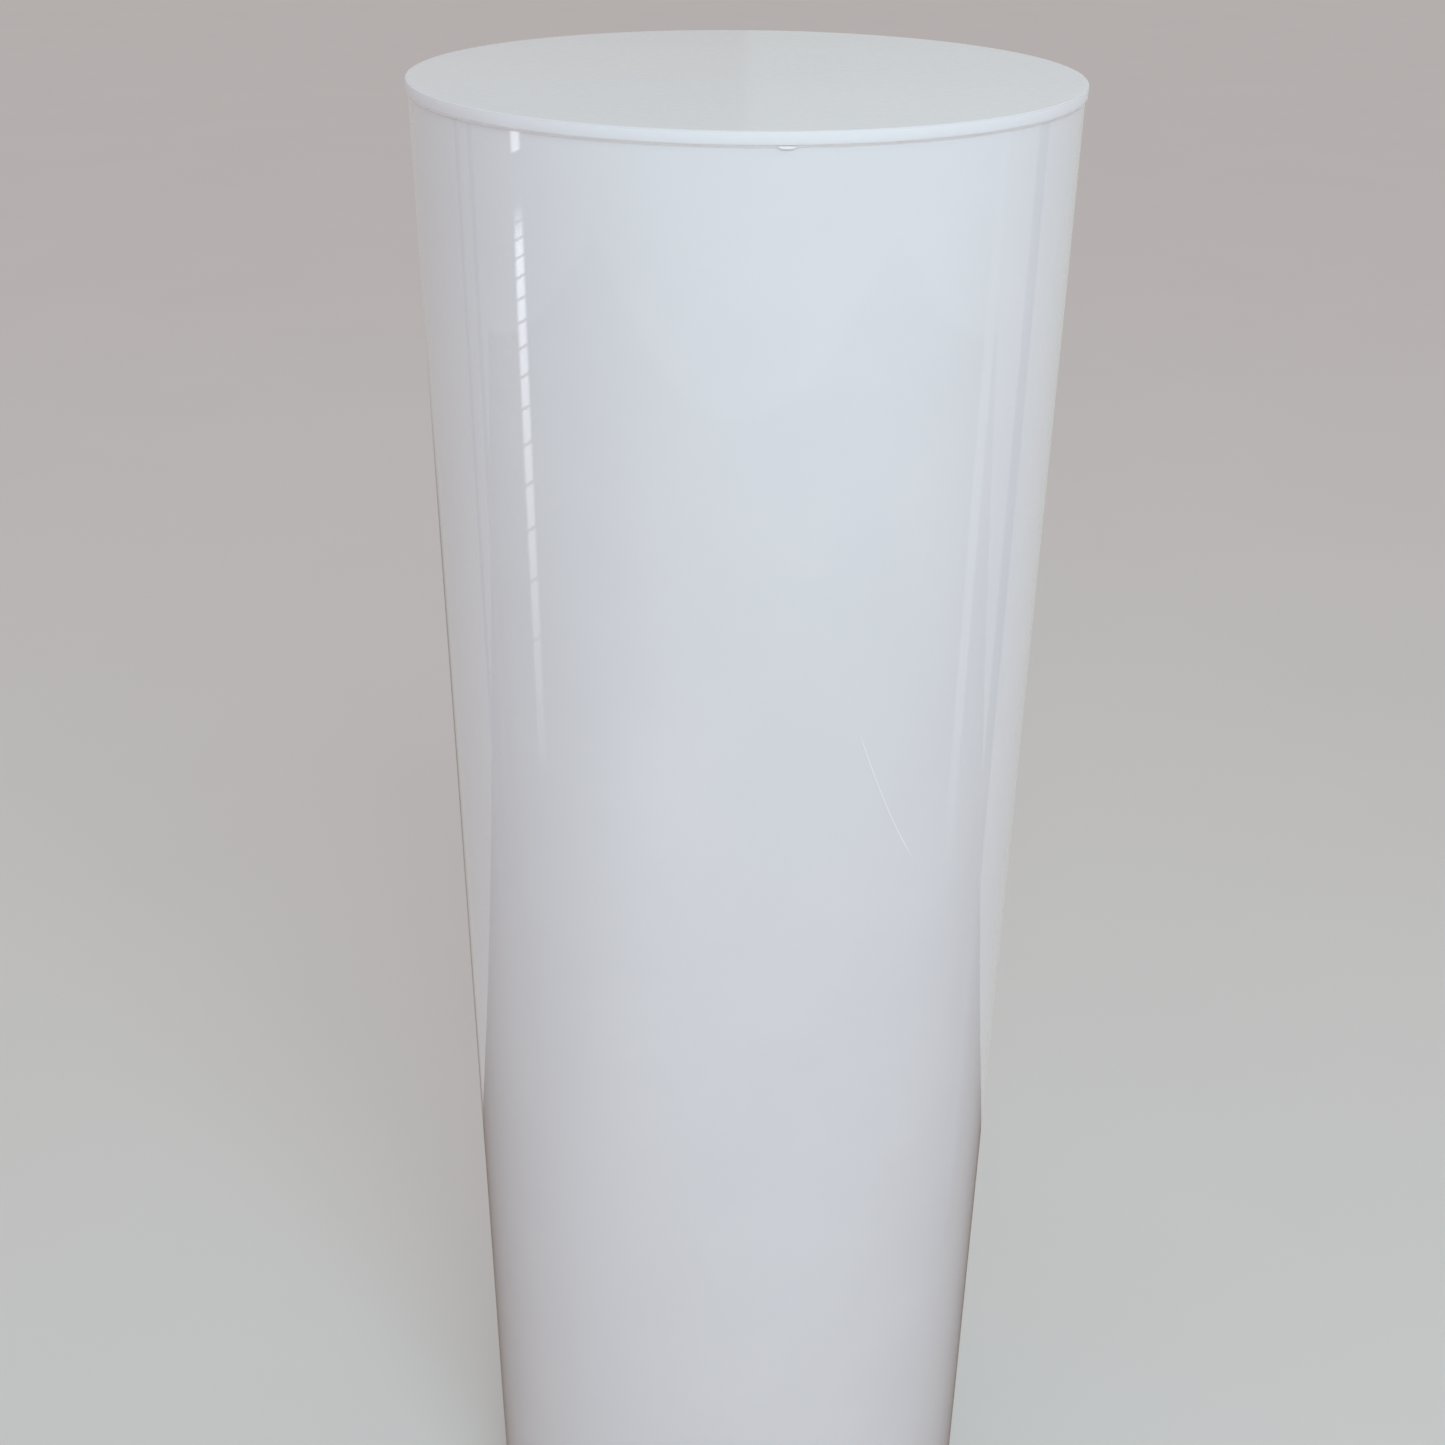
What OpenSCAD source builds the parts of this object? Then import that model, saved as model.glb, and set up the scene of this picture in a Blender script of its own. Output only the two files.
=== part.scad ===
// Round display plinth of white acrylic: a sheet rolled into a tall cylinder, open at the foot,
// with a flat disc bonded on top. Millimetres, +Z up, front towards -Y, seam at the back.
// The origin is on the floor, in the middle of the foot.

/* [Overall] */
// Height from the floor to the top face
plinth_h = 900; // [600:10:1200]
// Diameter of the top disc
disc_d = 300; // [240:2:400]

/* [Top disc] */
// Thickness of the top disc
disc_t = 5; // [4:0.5:8]
// How far the disc stands out past the body all round
disc_overhang = 1; // [0.6:0.1:3]
// Radius of the polished arris round the top face
disc_arris_r = 0.6; // [0.3:0.1:1.5]

/* [Body] */
// Thickness of the rolled sheet
wall_t = 4; // [3:0.5:6]
// Width of the butt seam where the sheet's two ends meet
seam_w = 0.8; // [0.4:0.1:1.5]
// Width of the strip that backs the seam on the inside
seam_strip_w = 30; // [20:1:50]
// Thickness of the strip that backs the seam
seam_strip_t = 3; // [2:0.5:5]

/* [Stiffening rings] */
// Thickness of both flat rings
ring_t = 5; // [4:0.5:8]
// Width of the ring under the disc, which centres the disc on the body
top_ring_w = 15; // [10:1:30]
// Width of the ring inside the foot, which carries the pads
base_ring_w = 20; // [18:1:40]

/* [Cement] */
// Leg of the bead of cement in the corner under the disc
bead_leg = 0.8; // [0.2:0.1:0.9]
// Height of the one place where cement was squeezed out of the joint
run_h = 1.7; // [1:0.1:2.5]
// Length of that place along the joint
run_length = 7; // [3:0.5:15]
// Angle of that place, from the front towards +X
run_angle = 6; // [-90:1:90]

/* [Foot pads] */
// Number of stick-on pads under the base ring
pad_count = 6; // [3:1:8]
// Diameter of a pad
pad_d = 14; // [10:1:16]
// Thickness of a pad, which is how far the body stands off the floor
pad_h = 2.5; // [1.5:0.5:5]
// Radius of a pad's lower edge
pad_edge_r = 1; // [0.5:0.1:1.2]

/* [Hidden] */
$fn = 128;
disc_z = plinth_h - disc_t;              // underside of the disc, top of the body
body_h = disc_z - pad_h;
body_r = disc_d / 2 - disc_overhang;
bore_r = body_r - wall_t;
strip_h = body_h - 2 * ring_t;           // the strip fills the height between the rings
pad_circle_r = bore_r - base_ring_w / 2;
cut = 1;                                 // how far a cutting shape runs past what it cuts

acrylic_white = [0.90, 0.92, 0.95];
acrylic_inner = [0.86, 0.88, 0.90];
cement_clear = [0.80, 0.83, 0.86];
pad_clear = [0.72, 0.76, 0.78];

// Flat disc on z = 0 whose upper edge is rounded
module round_edged_disc(r, t, edge_r) {
    rotate_extrude() {
        square([r - edge_r, t]);
        square([r, t - edge_r]);
        intersection() {
            translate([r - edge_r, t - edge_r]) circle(edge_r);
            translate([r - edge_r, t - edge_r]) square(edge_r);
        }
    }
}

// Upright ring standing on z = 0
module ring(outer_r, inner_r, h) {
    difference() {
        cylinder(h = h, r = outer_r);
        translate([0, 0, -cut]) cylinder(h = h + 2 * cut, r = inner_r);
    }
}

// Upright slab that runs out from the axis towards the back, to mark a width of the wall there
module rear_slab(w, h) {
    translate([-w / 2, 0, 0]) cube([w, disc_d, h]);
}

// Section of the cement in the corner between the wall and the disc
module cement_section(w, h) {
    polygon([[body_r, disc_z], [body_r + w, disc_z], [body_r, disc_z - h]]);
}

// The rolled sheet, with a narrow gap left where its ends meet
module body_tube() {
    color(acrylic_white)
    translate([0, 0, pad_h])
    difference() {
        ring(body_r, bore_r, body_h);
        translate([0, 0, -cut]) rear_slab(seam_w, body_h + 2 * cut);
    }
}

// Cement that fills the gap and is polished flush
module seam_weld() {
    color(cement_clear)
    translate([0, 0, pad_h])
    intersection() {
        ring(body_r, bore_r, body_h);
        rear_slab(seam_w, body_h);
    }
}

// Curved strip bonded inside, over the seam and between the two rings
module seam_backing_strip() {
    color(acrylic_inner)
    translate([0, 0, pad_h + ring_t])
    intersection() {
        ring(bore_r, bore_r - seam_strip_t, strip_h);
        rear_slab(seam_strip_w, strip_h);
    }
}

// The flat top that things are set on
module top_disc() {
    color(acrylic_white)
    translate([0, 0, disc_z])
    round_edged_disc(disc_d / 2, disc_t, disc_arris_r);
}

// Cement all round under the overhang, thicker in the place where it was squeezed out
module top_cement_bead() {
    run_arc = run_length / body_r * 180 / PI;
    color(cement_clear)
    rotate([0, 0, run_angle - 90 + run_arc / 2]) {
        rotate_extrude(angle = 360 - run_arc) cement_section(bead_leg, bead_leg);
        rotate_extrude(angle = -run_arc) cement_section(disc_overhang * 0.9, run_h);
    }
}

// Ring bonded under the disc and against the wall
module top_locating_ring() {
    color(acrylic_inner)
    translate([0, 0, disc_z - ring_t])
    ring(bore_r, bore_r - top_ring_w, ring_t);
}

// Ring flush with the foot that keeps it round
module base_ring() {
    color(acrylic_inner)
    translate([0, 0, pad_h])
    ring(bore_r, bore_r - base_ring_w, ring_t);
}

// One stick-on pad; pad 1 is half a step to the +X side of the back
module foot_pad(i) {
    color(pad_clear)
    rotate([0, 0, 90 - (i - 0.5) * 360 / pad_count])
    translate([pad_circle_r, 0, pad_h])
    mirror([0, 0, 1])
    round_edged_disc(pad_d / 2, pad_h, pad_edge_r);
}

body_tube();
seam_weld();
seam_backing_strip();
top_disc();
top_cement_bead();
top_locating_ring();
base_ring();
for (i = [1 : pad_count])
    foot_pad(i);
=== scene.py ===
"""Looks of the round white acrylic display plinth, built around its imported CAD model.

Metres, +Z up, front towards -Y, seam at the back. Each piece takes its main sizes from the CAD node it
stands for.
"""

import math

import bmesh
import bpy
from mathutils import Matrix, Vector


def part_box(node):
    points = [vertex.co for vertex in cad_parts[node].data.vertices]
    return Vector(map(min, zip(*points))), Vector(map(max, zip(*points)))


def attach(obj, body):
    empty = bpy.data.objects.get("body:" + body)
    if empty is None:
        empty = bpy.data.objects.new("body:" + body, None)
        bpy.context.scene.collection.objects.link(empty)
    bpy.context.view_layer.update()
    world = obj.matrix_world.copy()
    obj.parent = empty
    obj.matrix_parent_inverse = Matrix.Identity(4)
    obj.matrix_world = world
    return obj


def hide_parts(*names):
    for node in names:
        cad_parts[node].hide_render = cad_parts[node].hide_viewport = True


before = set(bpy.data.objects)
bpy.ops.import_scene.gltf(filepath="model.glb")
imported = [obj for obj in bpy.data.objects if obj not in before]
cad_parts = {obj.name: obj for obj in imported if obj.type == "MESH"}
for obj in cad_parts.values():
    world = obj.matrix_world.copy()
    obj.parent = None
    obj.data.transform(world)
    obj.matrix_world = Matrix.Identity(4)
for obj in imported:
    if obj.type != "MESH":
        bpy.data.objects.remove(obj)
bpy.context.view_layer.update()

MM = 0.001
BACK = math.pi / 2  # the seam's angle round the axis, counted from +X towards +Y
FRONT = -math.pi / 2
DROP_AT = math.radians(6)  # where more cement came out under the disc, from the front towards +X

# ---------------------------------------------------------------------------------------------
# Sizes from the frame
# ---------------------------------------------------------------------------------------------


def radii(node):
    """Smallest and largest distance of a CAD node from the axis."""
    spans = [math.hypot(v.co.x, v.co.y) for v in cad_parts[node].data.vertices]
    return min(spans), max(spans)


def heights(node):
    """Lowest and highest level of a CAD node."""
    low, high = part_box(node)
    return low.z, high.z


bore_r, body_r = radii("body_tube")
body_z0, body_z1 = heights("body_tube")
disc_r = radii("top_disc")[1]
disc_z0, disc_z1 = heights("top_disc")
seam_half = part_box("seam_weld")[1].x

# ---------------------------------------------------------------------------------------------
# Shapes
# ---------------------------------------------------------------------------------------------


def smooth(low, high, x):
    """0 below low, 1 above high, and an S between them."""
    t = min(1.0, max(0.0, (x - low) / (high - low)))
    return t * t * (3 - 2 * t)


def out_of_true(angle, z):
    """How far the rolled wall strays from a true cylinder. Both ends are held round."""
    held = smooth(0, 90 * MM, z - body_z0) * smooth(0, 90 * MM, body_z1 - z)
    oval = 0.16 * math.cos(2 * angle - 0.7)
    lobes = 0.07 * math.sin(3 * angle + 1.1 + 2.1 * z)
    ripple = 0.028 * math.sin(9 * angle + 2.0 + 4 * math.sin(3.3 * z))
    swell = 0.035 * math.sin(2 * math.pi * z / 0.34 + 2 * angle)
    from_seam = math.atan2(math.sin(angle - BACK), math.cos(angle - BACK)) * body_r
    flat = -0.3 * math.exp(-((from_seam / 0.028) ** 2))
    return held * (oval + lobes + ripple + swell + flat) * MM


def rounded_box(r0, r1, z0, z1, edge, stations=1):
    """Closed section of a ring, anticlockwise, with rounded corners.

    stations is how many lengths the two upright sides are split into.
    """
    corners = [
        (r1 - edge, z0 + edge, -math.pi / 2),
        (r1 - edge, z1 - edge, 0.0),
        (r0 + edge, z1 - edge, math.pi / 2),
        (r0 + edge, z0 + edge, math.pi),
    ]
    steps = 4
    points = []
    for i, (r, z, start) in enumerate(corners):
        for k in range(steps + 1):
            a = start + k * math.pi / 2 / steps
            points.append((r + edge * math.cos(a), z + edge * math.sin(a)))
        if i in (0, 2):  # the side that follows is upright
            side = r1 if i == 0 else r0
            low, high = z0 + 3 * edge, z1 - 3 * edge
            first, last = (low, high) if i == 0 else (high, low)
            for k in range(stations + 1):
                points.append((side, first + (last - first) * k / stations))
        else:  # flat side: two points near its ends keep the shading flat between them
            z_side = z1 if i == 1 else z0
            ends = [(r1 - 3 * edge, z_side), (r0 + 3 * edge, z_side)]
            points += ends if i == 1 else reversed(ends)
    return points


def sweep(name, section, angles, closed=True, centre=(0.0, 0.0)):
    """Mesh made by carrying a section round the vertical line through centre.

    section is a closed list of (radius, height), or a function of the angle that returns one.
    """
    shape = section if callable(section) else lambda angle: section
    verts, faces = [], []
    for a in angles:
        for r, z in shape(a):
            verts.append((centre[0] + r * math.cos(a), centre[1] + r * math.sin(a), z))
    n, turns = len(shape(angles[0])), len(angles)
    for i in range(turns if closed else turns - 1):
        here, there = i * n, (i + 1) % turns * n
        for k in range(n):
            k2 = (k + 1) % n
            faces.append((here + k, there + k, there + k2, here + k2))
    if not closed:
        faces += [tuple(reversed(range(n))), tuple(range((turns - 1) * n, turns * n))]
    return piece(name, verts, faces)


def piece(name, verts, faces):
    """Object with that mesh, its double points merged, shaded smooth and with its normals outwards."""
    mesh = bpy.data.meshes.new(name)
    mesh.from_pydata(verts, [], faces)
    obj = bpy.data.objects.new(name, mesh)
    bpy.context.scene.collection.objects.link(obj)
    bm = bmesh.new()
    bm.from_mesh(mesh)
    bmesh.ops.remove_doubles(bm, verts=bm.verts, dist=1e-7)
    bmesh.ops.recalc_face_normals(bm, faces=bm.faces)
    bm.to_mesh(mesh)
    bm.free()
    mesh.polygons.foreach_set("use_smooth", [True] * len(mesh.polygons))
    return obj


def full_turn(count):
    return [2 * math.pi * i / count for i in range(count)]


def stand_for(obj, node, material):
    """Puts the piece in place of a CAD node and gives it its finish."""
    obj.data.materials.append(material)
    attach(obj, "root")
    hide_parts(node)


# ---------------------------------------------------------------------------------------------
# Materials
# ---------------------------------------------------------------------------------------------


class Graph:
    """A material's node tree, with short ways to add the nodes used here."""

    def __init__(self, name, **shader):
        self.material = bpy.data.materials.new(name)
        self.material.use_nodes = True
        self.tree = self.material.node_tree
        self.shader = self.tree.nodes["Principled BSDF"]
        for socket, value in shader.items():
            self.shader.inputs[socket.replace("_", " ")].default_value = value
        self.place = self.node("ShaderNodeTexCoord").outputs["Object"]

    def node(self, kind, **settings):
        made = self.tree.nodes.new(kind)
        for key, value in settings.items():
            setattr(made, key, value)
        return made

    def feed(self, socket, value):
        """Links value to the socket if it comes out of a node, and otherwise sets it."""
        if isinstance(value, bpy.types.NodeSocket):
            self.tree.links.new(value, socket)
        else:
            socket.default_value = value

    def math(self, operation, a, b=0.0, c=0.0):
        made = self.node("ShaderNodeMath", operation=operation)
        for socket, value in zip(made.inputs, (a, b, c)):
            self.feed(socket, value)
        return made.outputs[0]

    def noise(self, scale, detail=2.0, roughness=0.5, stretch=(1, 1, 1)):
        """Noise of that many cells a metre, drawn out along an axis where stretch is under 1."""
        mapping = self.node("ShaderNodeMapping")
        self.feed(mapping.inputs["Vector"], self.place)
        mapping.inputs["Scale"].default_value = stretch
        made = self.node("ShaderNodeTexNoise")
        self.feed(made.inputs["Vector"], mapping.outputs[0])
        made.inputs["Scale"].default_value = scale
        made.inputs["Detail"].default_value = detail
        made.inputs["Roughness"].default_value = roughness
        return made.outputs["Fac"]

    def ramp(self, value, low, high, to_low, to_high):
        """Carries value from low..high to to_low..to_high, and holds it there outside."""
        made = self.node("ShaderNodeMapRange", interpolation_type="SMOOTHSTEP")
        for socket, v in zip(made.inputs, (value, low, high, to_low, to_high)):
            self.feed(socket, v)
        return made.outputs[0]

    def mix(self, share, a, b):
        """Colour that goes from a to b as share goes from 0 to 1."""
        made = self.node("ShaderNodeMix", data_type="RGBA")
        for socket, value in zip((made.inputs[0], made.inputs[6], made.inputs[7]), (share, a, b)):
            self.feed(socket, value)
        return made.outputs[2]

    def bump(self, height, distance, on=None):
        """Bump whose height, from 0 to 1, stands for distance in metres. It is added to the bump on."""
        made = self.node("ShaderNodeBump")
        made.inputs["Distance"].default_value = distance
        self.feed(made.inputs["Height"], height)
        if on is not None:
            self.feed(made.inputs["Normal"], on)
        return made.outputs[0]

    def split(self):
        """The three coordinates of the place."""
        made = self.node("ShaderNodeSeparateXYZ")
        self.feed(made.inputs[0], self.place)
        return made.outputs

    def length(self, a, b):
        """Length of the flat vector from 0, 0 to a, b."""
        squares = self.math("ADD", self.math("MULTIPLY", a, a), self.math("MULTIPLY", b, b))
        return self.math("SQRT", squares)

    def use(self, socket, value):
        self.feed(self.shader.inputs[socket], value)


class Glow(Graph):
    """Material that only gives off light, and is clear where its share is 0."""

    def __init__(self, name, colour):
        super().__init__(name)
        self.tree.nodes.remove(self.shader)
        self.emission = self.node("ShaderNodeEmission")
        self.emission.inputs["Color"].default_value = (*colour, 1)
        clear = self.node("ShaderNodeBsdfTransparent")
        blend = self.node("ShaderNodeMixShader")
        blend.inputs[0].default_value = 1.0
        self.feed(blend.inputs[1], clear.outputs[0])
        self.feed(blend.inputs[2], self.emission.outputs[0])
        self.feed(self.tree.nodes["Material Output"].inputs["Surface"], blend.outputs[0])
        self.share = blend.inputs[0]


def opal(name, colour, deep, roughness):
    """White acrylic: a bright body in which light spreads a little, under a clear polished skin."""
    graph = Graph(
        name,
        IOR=1.49,
        Subsurface_Weight=0.25,
        Subsurface_Scale=0.004,
        Subsurface_Radius=(1.0, 1.0, 1.0),
    )
    mottle = graph.noise(11, detail=3)
    graph.use("Base Color", graph.mix(graph.ramp(mottle, 0.3, 0.7, 0, 1), colour, deep))
    graph.use("Roughness", roughness(graph))
    return graph


def scratch(graph):
    """1 along one fine scratch on the front right of the body, and 0 elsewhere."""
    x, y, z = graph.split()
    start, end = 55 * MM, 91 * MM  # measured round the body from the front
    top, bottom, sag = 644 * MM, 563.5 * MM, 6 * MM
    steep = (top - bottom) / (end - start)
    forward = graph.math("MULTIPLY", y, -1.0)
    round_body = graph.math("MULTIPLY", graph.math("ARCTAN2", x, forward), body_r)
    t = graph.math("DIVIDE", graph.math("SUBTRACT", round_body, start), end - start)
    line = graph.math("MULTIPLY_ADD", t, bottom - top, top)
    bow = graph.math("MULTIPLY", graph.math("MULTIPLY", t, graph.math("SUBTRACT", 1.0, t)), 4 * sag)
    off = graph.math("ABSOLUTE", graph.math("SUBTRACT", z, graph.math("SUBTRACT", line, bow)))
    near = graph.ramp(off, 0.1 * MM * steep, 0.3 * MM * steep, 1, 0)
    ends = graph.math("MULTIPLY", graph.ramp(t, 0, 0.1, 0, 1), graph.ramp(t, 0.8, 1, 1, 0))
    return graph.math("MULTIPLY", near, ends)


def body_roughness(graph):
    """Polished, with faint wipe marks that run up and down, and dull along the scratch."""
    wiped = graph.noise(24, detail=4, roughness=0.6, stretch=(1, 1, 0.35))
    polish = graph.ramp(wiped, 0.5, 0.85, 0.008, 0.016)
    return graph.math("MULTIPLY_ADD", scratch(graph), 0.3, polish)


def wall_acrylic():
    graph = opal("wall_acrylic", (0.80, 0.81, 0.83, 1), (0.78, 0.79, 0.815, 1), body_roughness)
    plain = graph.shader.inputs["Base Color"].links[0].from_socket
    graph.use("Base Color", graph.mix(scratch(graph), plain, (0.95, 0.95, 0.95, 1)))
    drawn = graph.noise(160, detail=2, stretch=(1, 1, 0.02))
    peel = graph.noise(60, detail=1)
    lines = graph.bump(drawn, 0.002 * MM)
    graph.use("Normal", graph.bump(peel, 0.002 * MM, on=lines))
    return graph.material


def out_from_axis(graph):
    x, y, _ = graph.split()
    return graph.length(x, y)


def disc_acrylic():
    """Face a little dulled by use. The edge is buffed and painted paler, painted light for the bright
    band it shows, and the arris between them is painted greyer, painted shade that damps the lit line
    along it.
    """

    def used(graph):
        face = graph.ramp(graph.noise(260, detail=4, roughness=0.6), 0.35, 0.7, 0.17, 0.21)
        buffed = graph.ramp(graph.noise(700, detail=3, stretch=(1, 1, 3)), 0.3, 0.7, 0.42, 0.5)
        edge = graph.ramp(out_from_axis(graph), disc_r - 0.9 * MM, disc_r - 0.3 * MM, 0, 1)
        flat = graph.math("MULTIPLY", face, graph.math("SUBTRACT", 1.0, edge))
        return graph.math("MULTIPLY_ADD", edge, buffed, flat)

    graph = opal("disc_acrylic", (0.80, 0.815, 0.82, 1), (0.785, 0.80, 0.81, 1), used)
    out = out_from_axis(graph)
    edge = graph.ramp(out, disc_r - 0.4 * MM, disc_r - 0.1 * MM, 0, 1)
    arris = graph.math(
        "MULTIPLY",
        graph.ramp(out, disc_r - 0.8 * MM, disc_r - 0.35 * MM, 0, 1),
        graph.ramp(graph.split()[2], disc_z1 - 0.8 * MM, disc_z1 - 0.4 * MM, 0, 1),
    )
    face = graph.shader.inputs["Base Color"].links[0].from_socket
    # painted light: the edge band is painted paler than the face
    sides = graph.mix(edge, face, (0.825, 0.84, 0.865, 1))
    # painted shade: the arris is painted greyer to damp the bright line the lamps draw on it
    graph.use("Base Color", graph.mix(arris, sides, (0.72, 0.73, 0.75, 1)))
    graph.use("Normal", graph.bump(graph.noise(900, detail=2), 0.001 * MM))
    return graph.material


def sawn_acrylic():
    def sawn(graph):
        return graph.ramp(graph.noise(60, detail=4), 0.3, 0.7, 0.28, 0.42)

    graph = opal("sawn_acrylic", (0.76, 0.775, 0.79, 1), (0.72, 0.735, 0.75, 1), sawn)
    marks = graph.noise(700, detail=2, stretch=(1, 1, 0.15))
    graph.use("Normal", graph.bump(marks, 0.01 * MM))
    return graph.material


def cement():
    """Clear cement. The thin fillet is painted paler than the wall, painted light that lifts the shade in
    the corner under the disc, and it is as white as the wall where it stands in a thick drop under the
    disc.
    """
    graph = Graph("cement", IOR=1.48)
    # painted light: the thin fillet is painted paler than the wall to lift the shade under the disc's
    # overhang
    thin = graph.mix(graph.noise(300), (0.94, 0.965, 0.985, 1), (0.97, 0.985, 0.995, 1))
    x, y, _ = graph.split()
    aside = graph.math("ABSOLUTE", graph.math("SUBTRACT", x, body_r * math.sin(DROP_AT)))
    front = graph.math("LESS_THAN", y, 0.0)
    thick = graph.math("MULTIPLY", graph.ramp(aside, 3 * MM, 5 * MM, 1, 0), front)
    graph.use("Base Color", graph.mix(thick, thin, (0.80, 0.81, 0.82, 1)))
    graph.use("Roughness", graph.ramp(graph.noise(500), 0.3, 0.7, 0.28, 0.36))
    return graph.material


def polyurethane():
    graph = Graph("polyurethane", IOR=1.5, Subsurface_Weight=0.6, Subsurface_Scale=0.003)
    graph.use("Base Color", graph.mix(graph.noise(200), (0.60, 0.63, 0.63, 1), (0.66, 0.69, 0.68, 1)))
    graph.use("Roughness", graph.ramp(graph.noise(900, detail=3), 0.3, 0.7, 0.2, 0.34))
    return graph.material


def floor_paint():
    graph = Graph("floor_paint", Specular_IOR_Level=0.0)
    cloudy = graph.noise(3, detail=4)
    graph.use("Base Color", graph.mix(cloudy, (0.72, 0.74, 0.70, 1), (0.75, 0.77, 0.73, 1)))
    graph.use("Roughness", graph.ramp(graph.noise(40, detail=3), 0.3, 0.7, 0.5, 0.6))
    return graph.material


WALL, DISC, SAWN = wall_acrylic(), disc_acrylic(), sawn_acrylic()
CEMENT, PAD = cement(), polyurethane()

# ---------------------------------------------------------------------------------------------
# Pieces
# ---------------------------------------------------------------------------------------------


def rolled_wall():
    """The rolled sheet: a wall that runs from one side of the seam round to the other."""
    half_gap = math.asin(seam_half / body_r)
    section = rounded_box(bore_r, body_r, body_z0, body_z1, edge=0.3 * MM, stations=80)
    turns = 288
    step = (2 * math.pi - 2 * half_gap) / turns
    angles = [BACK + half_gap + i * step for i in range(turns + 1)]
    return sweep(
        "rolled_wall",
        lambda a: [(r + out_of_true(a, z), z) for r, z in section],
        angles,
        closed=False,
    )


def seam_fill():
    """Cement in the butt seam, a hair proud of the wall outside and in."""
    stations = 160
    verts, faces, around = [], [], []
    for i in range(stations + 1):
        z = body_z0 + (body_z1 - body_z0) * i / stations
        stray = out_of_true(BACK, z)
        crown = (0.05 + 0.02 * math.sin(61 * z) + 0.015 * math.sin(173 * z + 1)) * MM
        outer, inner, w = body_r + stray, bore_r + stray, seam_half
        around = [
            (-w, inner), (w, inner), (w, outer), (0.6 * w, outer + 0.8 * crown), (0, outer + crown),
            (-0.6 * w, outer + 0.8 * crown), (-w, outer),
        ]
        verts += [(x, y, z) for x, y in around]
    n = len(around)
    for i in range(stations):
        for k in range(n):
            k2 = (k + 1) % n
            faces.append((i * n + k, i * n + k2, (i + 1) * n + k2, (i + 1) * n + k))
    faces += [tuple(reversed(range(n))), tuple(range(stations * n, (stations + 1) * n))]
    return piece("seam_fill", verts, faces)


def backing_strip():
    low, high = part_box("seam_backing_strip")
    inner, outer = radii("seam_backing_strip")
    half = math.asin(high.x / outer)
    section = rounded_box(inner, outer, low.z, high.z, edge=0.3 * MM, stations=80)
    angles = [BACK - half + 2 * half * i / 12 for i in range(13)]
    return sweep(
        "backing_strip",
        lambda a: [(r + out_of_true(a, z), z) for r, z in section],
        angles,
        closed=False,
    )


def disc_plate():
    """The top: a rounded arris above, a slight one below, and a face flat to within 0.07 mm."""
    arris, lower = 0.6 * MM, 0.12 * MM
    section = [(0.0, disc_z0)]
    section += [(disc_r * f, disc_z0) for f in (0.3, 0.6, 0.9, 0.97)]
    section.append((disc_r - 3 * lower, disc_z0))
    for k in range(4):
        a = -math.pi / 2 + k * math.pi / 6
        section.append((disc_r - lower + lower * math.cos(a), disc_z0 + lower + lower * math.sin(a)))
    section += [(disc_r, disc_z0 + 0.9 * MM), (disc_r, disc_z1 - 1.5 * MM)]
    for k in range(7):
        a = k * math.pi / 12
        section.append((disc_r - arris + arris * math.cos(a), disc_z1 - arris + arris * math.sin(a)))
    section += [(disc_r - 3 * arris, disc_z1), (disc_r - 12 * arris, disc_z1)]
    section += [(disc_r * f, disc_z1) for f in (0.9, 0.8, 0.7, 0.6, 0.5, 0.4, 0.3, 0.2, 0.1)]
    section.append((0.0, disc_z1))

    def dished(a):
        """The face sinks a little towards the middle, where the ring doesn't back it."""
        out = []
        for r, z in section:
            sag = 0.05 * (1 - (r / disc_r) ** 2) * (1 + 0.3 * math.cos(2 * a) * r / disc_r)
            out.append((r, z - sag * MM if z > disc_z0 + 2 * MM else z))
        return out

    return sweep("disc_plate", dished, full_turn(288))


def cement_bead():
    """Cement in the corner under the disc, not quite even, with a taller drop where more came out."""
    drop_angle = FRONT + DROP_AT
    drop_half = 3.4 * MM / body_r
    drop_tall, drop_belly, drop_out = 1.7 * MM, 1.45 * MM, 0.65 * MM
    turns = full_turn(480)
    turns += [drop_angle + drop_half * 1.8 * (i / 36 - 1) for i in range(73)]
    angles = sorted({round(a % (2 * math.pi), 6) for a in turns})
    steps = 20
    inside = body_r - 0.05 * MM
    above = disc_z0 + 0.02 * MM

    def sagged(down):
        """How far the drop stands out: it hangs, so it is widest near its lower end."""
        if down < drop_belly:
            return drop_out * (0.25 + 0.75 * math.sin(math.pi / 2 * down / drop_belly))
        return drop_out * math.sqrt(max(0.0, 1 - ((down - drop_belly) / (drop_tall - drop_belly)) ** 2))

    def section(a):
        off = math.atan2(math.sin(a - drop_angle), math.cos(a - drop_angle))
        drop = math.exp(-abs(off / drop_half) ** 4)
        waver = 1 + 0.05 * math.sin(23 * a) + 0.04 * math.sin(57 * a + 1.3) + 0.03 * math.sin(131 * a)
        leg = 0.8 * MM * waver
        thin_tall = 1.25 * leg
        tall = thin_tall + drop * (drop_tall - thin_tall)
        points = [(inside, above), (inside, disc_z0 - tall)]
        for k in range(steps + 1):
            up = k / steps
            straight = leg * up
            out = straight + drop * (sagged(drop_tall * (1 - up)) - straight)
            points.append((body_r + out, disc_z0 - tall * (1 - up)))
        points.append((points[-1][0], above))
        return points

    return sweep("cement_bead", section, angles)


def flat_ring(name, node):
    inner, outer = radii(node)
    z0, z1 = heights(node)
    section = rounded_box(inner, outer, z0, z1, edge=0.25 * MM)
    return sweep(name, section, full_turn(180))


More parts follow.
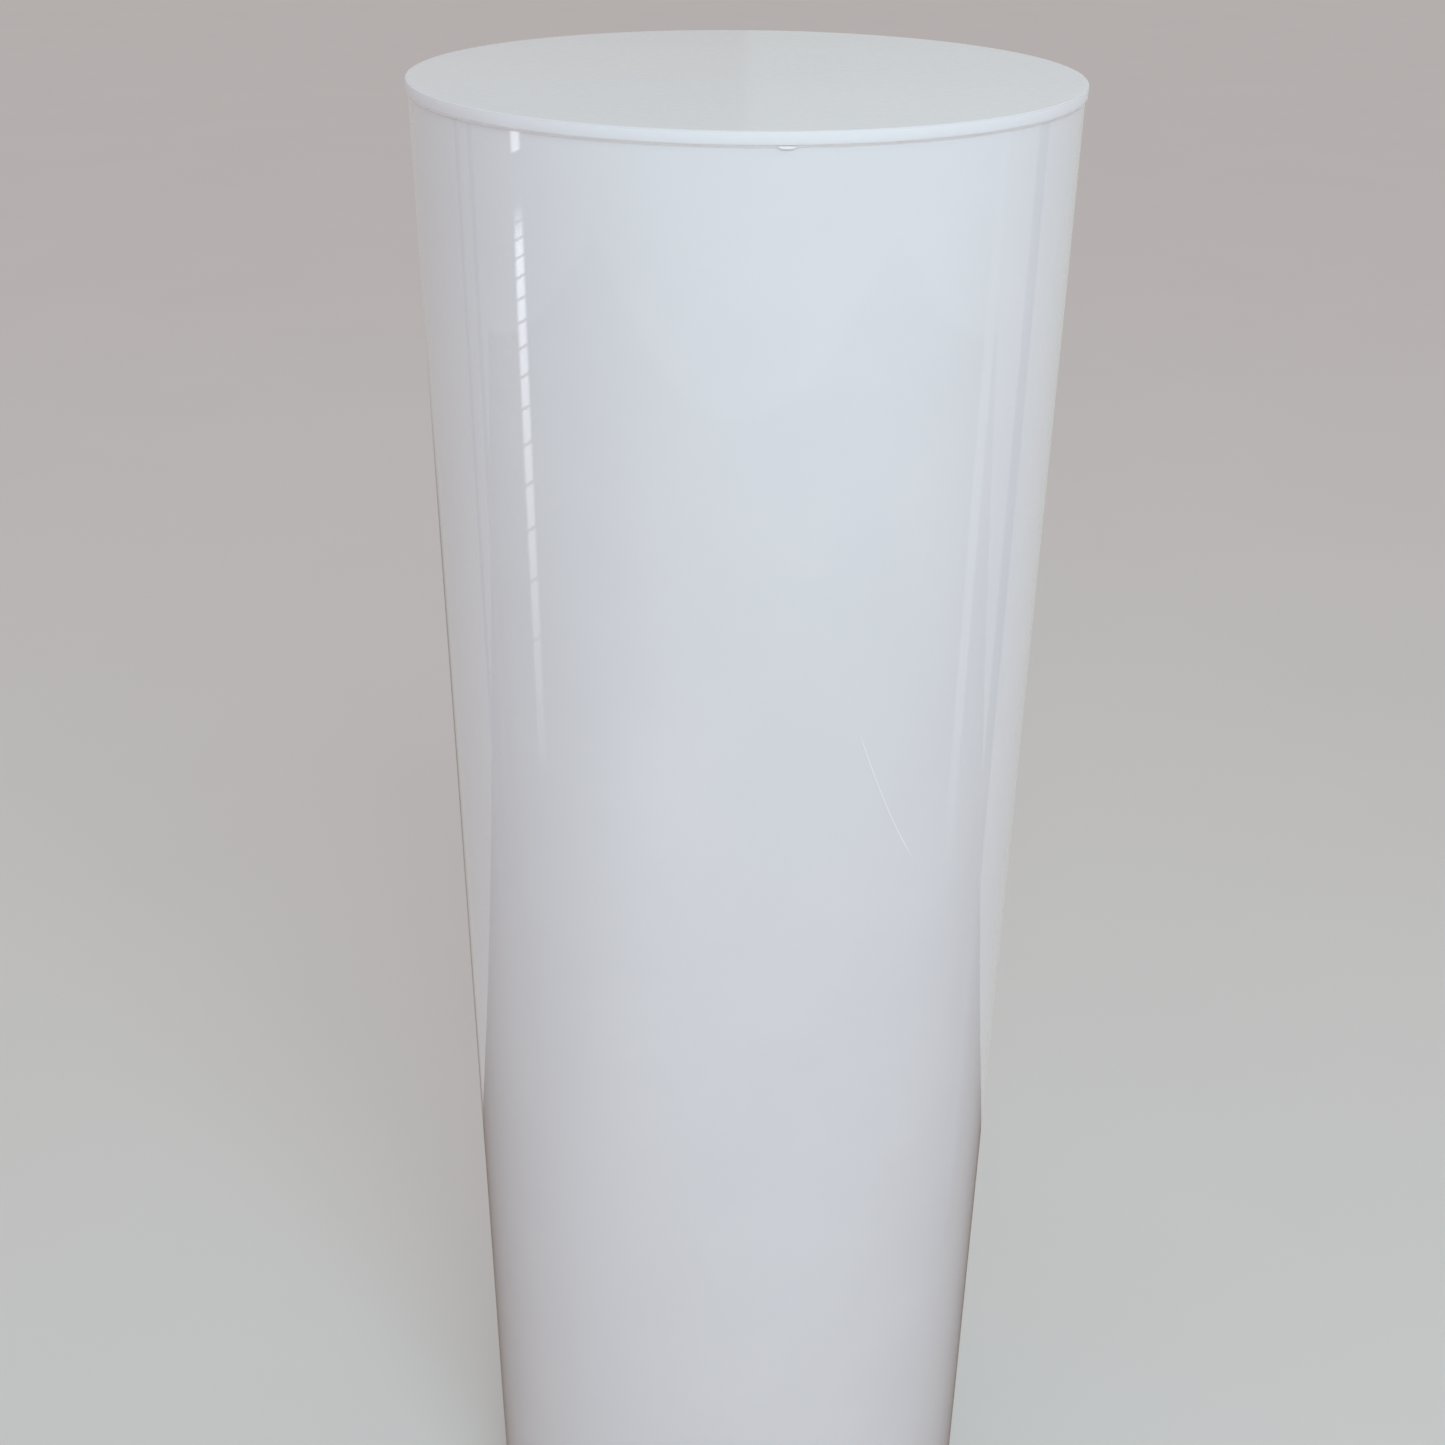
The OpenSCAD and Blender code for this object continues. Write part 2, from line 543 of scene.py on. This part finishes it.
def bumper(node):
    """Stick-on pad: straight where it is stuck on, with a soft rounded edge below."""
    low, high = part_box(node)
    middle, r, h = (low + high) / 2, (high.x - low.x) / 2, high.z - low.z
    edge = 1.0 * MM
    section = [(0.0, high.z), (0.5 * r, high.z), (r - 0.5 * MM, high.z), (r, high.z - 0.15 * MM)]
    section.append((r - 0.15 * MM, low.z + edge + 0.3 * (h - edge)))
    for k in range(7):
        a = -k * math.pi / 12
        section.append((r - 0.2 * MM - edge + edge * math.cos(a), low.z + edge + edge * math.sin(a)))
    section += [(0.6 * r, low.z), (0.3 * r, low.z), (0.0, low.z)]
    return sweep("bumper_" + node[-1], section, full_turn(48), centre=(middle.x, middle.y))


stand_for(rolled_wall(), "body_tube", WALL)
stand_for(seam_fill(), "seam_weld", CEMENT)
stand_for(backing_strip(), "seam_backing_strip", SAWN)
stand_for(disc_plate(), "top_disc", DISC)
stand_for(cement_bead(), "top_cement_bead", CEMENT)
stand_for(flat_ring("locating_ring", "top_locating_ring"), "top_locating_ring", SAWN)
stand_for(flat_ring("foot_ring", "base_ring"), "base_ring", SAWN)
for pad in sorted(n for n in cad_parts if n.startswith("foot_pad_")):
    stand_for(bumper(pad), pad, PAD)

# ---------------------------------------------------------------------------------------------
# Floor, light and camera
# ---------------------------------------------------------------------------------------------


def studio_floor():
    mesh = bpy.data.meshes.new("studio_floor")
    half = 20
    corners = [(-half, -half, 0), (half, -half, 0), (half, half, 0), (-half, half, 0)]
    mesh.from_pydata(corners, [], [(0, 1, 2, 3)])
    floor = bpy.data.objects.new("studio_floor", mesh)
    bpy.context.scene.collection.objects.link(floor)
    mesh.materials.append(floor_paint())


def panel(name, place, aim, width, height, power, colour):
    """Soft rectangular light that faces aim and isn't itself in the picture."""
    data = bpy.data.lights.new(name, "AREA")
    data.shape = "RECTANGLE"
    data.size, data.size_y = width, height
    data.energy, data.color = power, colour
    light = bpy.data.objects.new(name, data)
    bpy.context.scene.collection.objects.link(light)
    light.location = place
    light.rotation_euler = (Vector(aim) - Vector(place)).to_track_quat("-Z", "Y").to_euler()
    light.visible_camera = False


def reflection_card(name, verts, material):
    """Flat card that only shows in the gloss. It lights nothing matt and throws no shadow."""
    mesh = bpy.data.meshes.new(name)
    mesh.from_pydata(verts, [], [tuple(range(len(verts)))])
    card = bpy.data.objects.new(name, mesh)
    bpy.context.scene.collection.objects.link(card)
    mesh.materials.append(material)
    card.visible_camera = card.visible_diffuse = card.visible_shadow = False


def slatted_strip():
    """Strip light on the floor at the left, crossed by slats: it draws the thin streak down the body."""
    streak_at = math.radians(-36.9)  # both angles from the front towards +X
    bearing = math.radians(-80.8)
    start = Vector((body_r * math.sin(streak_at), -body_r * math.cos(streak_at), 0))
    ahead = Vector((math.sin(bearing), -math.cos(bearing), 0))
    across = Vector((-ahead.y, ahead.x, 0))
    widening = math.tan(math.radians(1.85))  # half width for each metre away
    soft_from, soft_to = 0.5, 1.55  # of the half width, where the sides fade
    near, far, level = 1.0, 5.45, 2 * MM
    corners = []
    for d, side in ((near, -1), (far, -1), (far, 1), (near, 1)):
        p = start + ahead * d + across * side * d * widening * soft_to
        corners.append((p.x, p.y, level))

    # Distances along the strip: it brightens up to one end, and a short piece lies beyond a gap.
    dim_end, bright_end = 1.05, 3.3
    fade_from, fade_to = 3.55, 4.3
    short_from, short_to, soft_end = 4.94, 5.4, 0.025
    pitch, shift = 0.1964, 0.04  # of the slats
    gap_share = 0.042  # of a pitch, for each metre away, so that the gaps look equally thin
    gap_light = 0.2  # what the slats let through
    glow, long_share, short_share = 6.8, 0.91, 0.82

    graph = Glow("strip_glow", (0.93, 0.93, 1.0))
    x, y, _ = graph.split()
    along = graph.math("DIVIDE", graph.math("SUBTRACT", start.x, x), -ahead.x)
    past_end = graph.math("SUBTRACT", along, dim_end)
    climb = graph.math("MAXIMUM", graph.math("DIVIDE", past_end, bright_end - dim_end), 0.0)
    fading = graph.ramp(along, fade_from, fade_to, 1, 0)
    long_piece = graph.math("MULTIPLY", graph.math("POWER", climb, 0.8), fading)
    phase = graph.math("FRACT", graph.math("DIVIDE", graph.math("SUBTRACT", along, shift), pitch))
    clear = graph.math("GREATER_THAN", phase, graph.math("MULTIPLY", along, gap_share))
    slats = graph.math("MULTIPLY_ADD", clear, 1 - gap_light, gap_light)
    long_part = graph.math("MULTIPLY", graph.math("MULTIPLY", long_piece, slats), long_share)
    short_start = graph.ramp(along, short_from, short_from + soft_end, 0, 1)
    short_stop = graph.ramp(along, short_to - soft_end, short_to, 1, 0)
    short_piece = graph.math("MULTIPLY", short_start, short_stop)
    both = graph.math("MULTIPLY_ADD", short_piece, short_share, long_part)
    across_x = graph.math("MULTIPLY", graph.math("SUBTRACT", x, start.x), across.x)
    across_y = graph.math("MULTIPLY", graph.math("SUBTRACT", y, start.y), across.y)
    aside = graph.math("ABSOLUTE", graph.math("ADD", across_x, across_y))
    edge = graph.math("DIVIDE", aside, graph.math("MULTIPLY", along, widening))
    sides = graph.ramp(edge, soft_from, soft_to, 1, 0)
    graph.emission.inputs["Strength"].default_value = glow
    graph.feed(graph.share, graph.math("MULTIPLY", both, sides))
    reflection_card("strip_light", corners, graph.material)


def toned_card(name, verts, colour):
    """Card of one even tone."""
    reflection_card(name, verts, Glow(name, colour).material)


def upright_corners(left, right, low, high):
    """Corners of an upright rectangle between the points left and right on the floor."""
    return [(*left, low), (*right, low), (*right, high), (*left, high)]


def upright_card(name, spot, bearing, distance, half_width, low, high, colour, fade=0.0):
    """Upright card that the body shows at angle spot, seen from there in direction bearing.

    Both are in degrees from the front towards +X. The card's lowest part, fade high, thins out downwards.
    """
    spot, bearing = math.radians(spot), math.radians(bearing)
    start = Vector((body_r * math.sin(spot), -body_r * math.cos(spot), 0))
    ahead = Vector((math.sin(bearing), -math.cos(bearing), 0))
    across = Vector((-ahead.y, ahead.x, 0)) * half_width
    middle = start + ahead * distance
    left, right = middle - across, middle + across
    graph = Glow(name, colour)
    if fade:
        graph.feed(graph.share, graph.ramp(graph.split()[2], low, low + fade, 0, 1))
    reflection_card(name, upright_corners(left.xy, right.xy, low, high), graph.material)


def lit_patch():
    """Soft pale patch on the floor in front, to the left: it lifts the middle of the body."""
    middle_x, middle_y, reach, level = -0.45, -1.0, 0.8, 1.5 * MM
    graph = Glow("lit_patch", (0.75, 0.72, 0.70))
    x, y, _ = graph.split()
    away = graph.length(graph.math("SUBTRACT", x, middle_x), graph.math("SUBTRACT", y, middle_y))
    graph.feed(graph.share, graph.ramp(away, 0.0, reach, 1, 0))
    left, right = middle_x - reach, middle_x + reach
    near, far = middle_y - reach, middle_y + reach
    verts = [(left, near, level), (right, near, level), (right, far, level), (left, far, level)]
    reflection_card("lit_patch", verts, graph.material)


def wall_shade(y):
    """Soft shade on the wall behind: it darkens the body's left side just inside its outline."""
    left, right, high = -0.335, -0.15, 0.74
    full_x, full_z = -0.24, 0.5  # the shade is full to the right of one and below the other
    graph = Glow("wall_shade", (0.23, 0.195, 0.17))
    x, _, z = graph.split()
    share = graph.math("MULTIPLY", graph.ramp(x, left, full_x, 0, 1), graph.ramp(z, full_z, high, 1, 0))
    graph.feed(graph.share, share)
    reflection_card("wall_shade", upright_corners((left, y), (right, y), 0, high), graph.material)


def reflected_room():
    """What the gloss shows: a dark floor, a pale wall close behind, and cards for faint upright lines."""
    wall_y, side, front, top = 0.33, 3.0, -2.5, 1.6
    toned_card(
        "dark_floor",
        [(-side, front, MM), (side, front, MM), (side, wall_y, MM), (-side, wall_y, MM)],
        (0.17, 0.13, 0.10),
    )
    for name, x0, x1, colour in (
        ("pale_wall_left", -side, 0.0, (0.50, 0.485, 0.46)),
        ("pale_wall_right", 0.0, side, (0.55, 0.555, 0.53)),
    ):
        toned_card(name, upright_corners((x0, wall_y), (x1, wall_y), 0, top), colour)
    wall_shade(wall_y - MM)
    lit_patch()
    upright_card("side_light", 43, 94.5, 0.75, 0.035, 0.0, 0.8, (0.65, 0.65, 0.68), fade=0.3)
    upright_card("side_flag", 54, 117, 0.35, 0.022, 0.0, 0.9, (0.20, 0.20, 0.21))
    upright_card("left_flag", -47.7, -103.5, 0.6, 0.014, 0.1, 0.8, (0.20, 0.19, 0.22), fade=0.2)
    upright_card("far_flag", -51.5, -111.5, 0.6, 0.012, 0.0, 0.9, (0.22, 0.21, 0.24), fade=0.2)
    upright_card("front_line", 0.6, 1.2, 0.5, 0.005, 0.1, 0.6, (0.35, 0.35, 0.35), fade=0.2)
    upright_card("second_line", 4.0, 8.5, 0.5, 0.005, 0.2, 0.6, (0.32, 0.32, 0.32), fade=0.2)


def studio_light():
    world = bpy.data.worlds.new("studio_world")
    world.use_nodes = True
    sky = world.node_tree.nodes["Background"]
    sky.inputs["Color"].default_value = (1.0, 0.908, 0.944, 1)
    sky.inputs["Strength"].default_value = 0.6185
    bpy.context.scene.world = world
    panel("key", (0.34, -1.25, 1.95), (0, 0, 0.75), 1.0, 0.7, 12.75, (0.572, 0.911, 1.0))
    panel("fill", (0.75, -2.1, 1.5), (0, 0, 0.6), 1.2, 1.0, 5.94, (1.0, 0.778, 0.828))


def photo_camera():
    """Camera at the viewing angle: just above the top face, looking down past it."""
    data = bpy.data.cameras.new("camera")
    data.sensor_width = 36
    data.lens = 43.6
    camera = bpy.data.objects.new("camera", data)
    bpy.context.scene.collection.objects.link(camera)
    pitch, roll, yaw = math.radians(28.26), math.radians(0.54), math.radians(-0.55)
    ahead = Vector((math.sin(yaw) * math.cos(pitch), math.cos(yaw) * math.cos(pitch), -math.sin(pitch)))
    level = Vector((math.cos(yaw), -math.sin(yaw), 0))
    upright = level.cross(ahead)
    right = math.cos(roll) * level + math.sin(roll) * upright
    up = -math.sin(roll) * level + math.cos(roll) * upright
    place = Vector((0, -5.48 * disc_r, disc_z1 + 0.757 * disc_r))
    turn = Matrix((right, up, -ahead)).transposed()
    camera.matrix_world = Matrix.Translation(place) @ turn.to_4x4()
    bpy.context.scene.camera = camera


studio_floor()
studio_light()
slatted_strip()
reflected_room()
photo_camera()
bpy.context.scene.view_settings.view_transform = "Standard"
